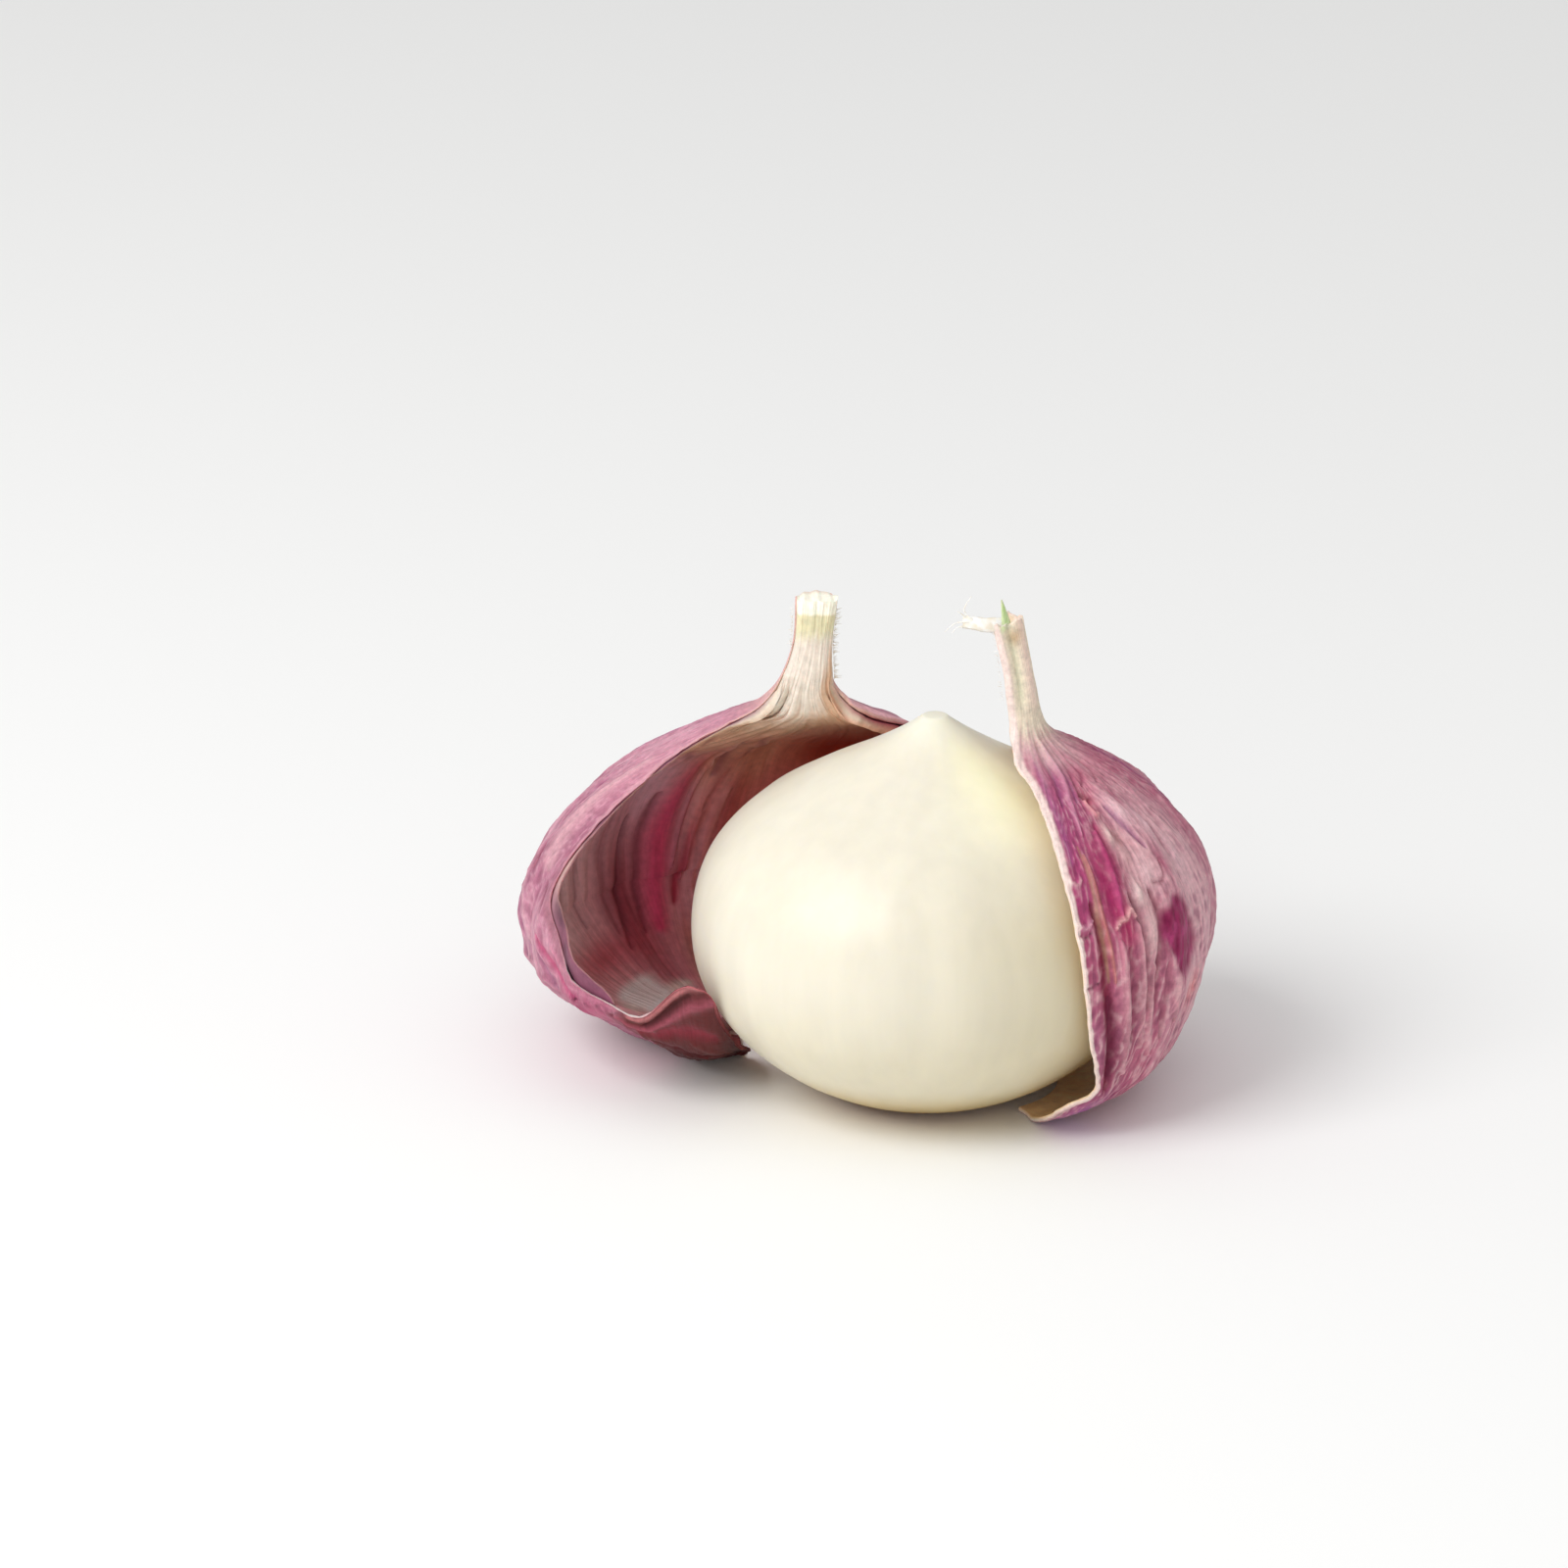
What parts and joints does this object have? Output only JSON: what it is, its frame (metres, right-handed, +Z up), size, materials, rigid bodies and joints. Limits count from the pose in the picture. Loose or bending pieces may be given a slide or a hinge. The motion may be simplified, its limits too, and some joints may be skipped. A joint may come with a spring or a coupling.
{
  "type": "single-clove garlic",
  "caption": "Peeled single-clove garlic bulb standing in its opened papery purple skin, with the cut neck upright.",
  "frame": {"origin": "centre of the flat scar that the clove stands on", "axes": "+Z up the clove to its tip, -Y towards the open side of the skin, +X from the larger skin half to the smaller one"},
  "size_m": [0.0515, 0.0447, 0.0373],
  "materials": {
    "clove_flesh": "waxy ivory flesh, semi-gloss",
    "purple_skin": "dry papery skin, pink with magenta veins, satin",
    "inner_skin": "dry parchment inner skin, tan to dark red, satin"
  },
  "bodies": {
    "root": {"clove": "clove_flesh", "skin_left_outer": "purple_skin", "skin_left_inner": "inner_skin", "skin_right": "purple_skin"}
  },
  "joints": []
}
